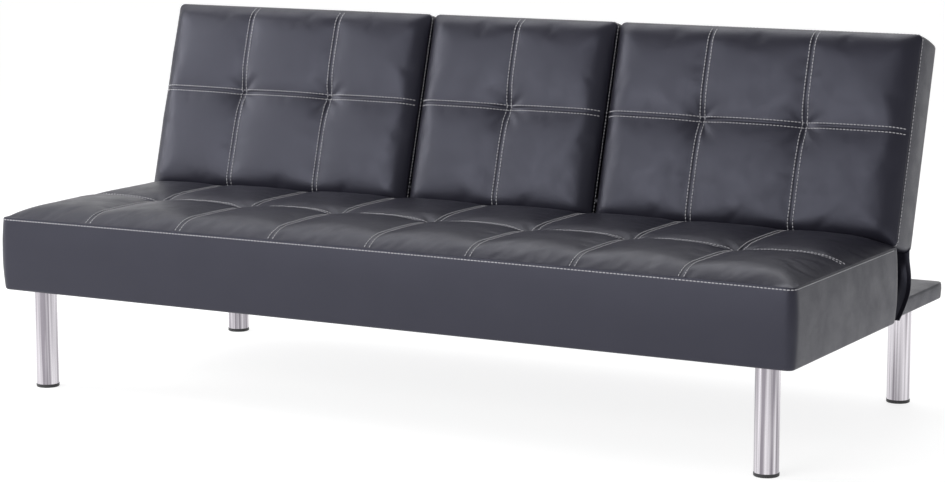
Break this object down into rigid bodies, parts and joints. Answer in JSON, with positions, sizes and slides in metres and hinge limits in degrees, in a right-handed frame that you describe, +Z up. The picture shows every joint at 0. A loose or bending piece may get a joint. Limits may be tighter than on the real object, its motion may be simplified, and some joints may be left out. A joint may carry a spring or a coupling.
{
  "type": "futon sofa bed",
  "caption": "Click-clack sofa bed: tufted black leather-look seat and three-section reclining back with a fold-down centre console, on round steel legs.",
  "frame": {"origin": "middle of the whole sofa's plan, on the floor", "axes": "+X runs along the sofa towards its right end, -Y is the front, +Z is up"},
  "size_m": [1.8, 0.866, 0.7747],
  "materials": {
    "black_leather": "soft semi-gloss polyurethane leather, near black",
    "foam": "open-cell foam",
    "pine": "planed pine",
    "leg_steel": "brushed, with soft vertical reflections",
    "black_plastic": "fine satin",
    "rubber": "matt",
    "nylon": "black nylon, satin",
    "black_steel": "black oxide",
    "dust_cloth": "spunbonded cloth, matt",
    "felt": "needled felt",
    "webbing": "woven elastic band",
    "spring_steel": "oiled spring wire",
    "zinc_steel": "zinc plated"
  },
  "bodies": {
    "base": {"corner_blocks": "pine", "foot_caps": "black_plastic", "hinge_bolts_seat": "zinc_steel", "hinge_pins": "zinc_steel", "hinge_seat_arms": "zinc_steel", "hinge_washers": "zinc_steel", "leg_bolts": "zinc_steel", "leg_front_left": "leg_steel", "leg_front_right": "leg_steel", "leg_inserts": "zinc_steel", "leg_rear_left": "leg_steel", "leg_rear_right": "leg_steel", "pawl_pins": "zinc_steel", "pawl_springs": "spring_steel", "rear_curtain": "black_leather", "seat_cover": "black_leather", "seat_cross_rails": "pine", "seat_dust_cover": "dust_cloth", "seat_edge_padding": "foam", "seat_foam": "foam", "seat_rail_front": "pine", "seat_rail_left": "pine", "seat_rail_rear": "pine", "seat_rail_right": "pine", "seat_spring_pad": "felt", "seat_springs": "spring_steel", "shelf_bearers": "pine", "shelf_board": "pine", "shelf_cover": "black_leather", "shelf_rail_rear": "pine", "spring_clips": "spring_steel"},
    "back": {"back_centre_panel": "black_leather", "back_cover_left": "black_leather", "back_cover_right": "black_leather", "back_crossbar_lower": "black_steel", "back_crossbar_upper": "black_steel", "back_foam_left": "foam", "back_foam_right": "foam", "back_rails_left": "pine", "back_rails_right": "pine", "back_stiles_left": "pine", "back_stiles_right": "pine", "back_webbing": "webbing", "bracket_screws": "black_steel", "console_brackets": "black_steel", "console_pins": "black_steel", "console_stops": "rubber", "crossbar_screws": "zinc_steel", "hinge_back_arms": "black_steel", "hinge_bolts_back": "zinc_steel"},
    "console": {"console_bushings": "nylon", "console_cover": "black_leather", "console_cross_rails": "pine", "console_cup_tray": "black_plastic", "console_foam": "foam", "console_hinge_plates": "zinc_steel", "console_side_rails": "pine"},
    "pawl_left": {"pawl_left": "zinc_steel"},
    "pawl_right": {"pawl_right": "zinc_steel"}
  },
  "joints": [
    {"name": "recline", "type": "hinge", "parent": "base", "child": "back", "pos_m": [0, 0.119, 0.36], "axis": [-1, 0, 0], "range_deg": [0, 73.46], "deforming": ["rear_curtain"]},
    {"name": "console_fold", "type": "hinge", "parent": "back", "child": "console", "pos_m": [0, 0.13707, 0.40679], "axis": [1, 0, 0], "range_deg": [0, 106.5]},
    {"name": "pawl_left_click", "type": "hinge", "parent": "base", "child": "pawl_left", "pos_m": [-0.8568, 0.098, 0.328], "axis": [1, 0, 0], "range_deg": [-6, 8], "stiffness_Nm_per_rad": 0.3},
    {"name": "pawl_right_click", "type": "hinge", "parent": "base", "child": "pawl_right", "pos_m": [0.8568, 0.098, 0.328], "axis": [1, 0, 0], "range_deg": [-6, 8], "stiffness_Nm_per_rad": 0.3}
  ]
}
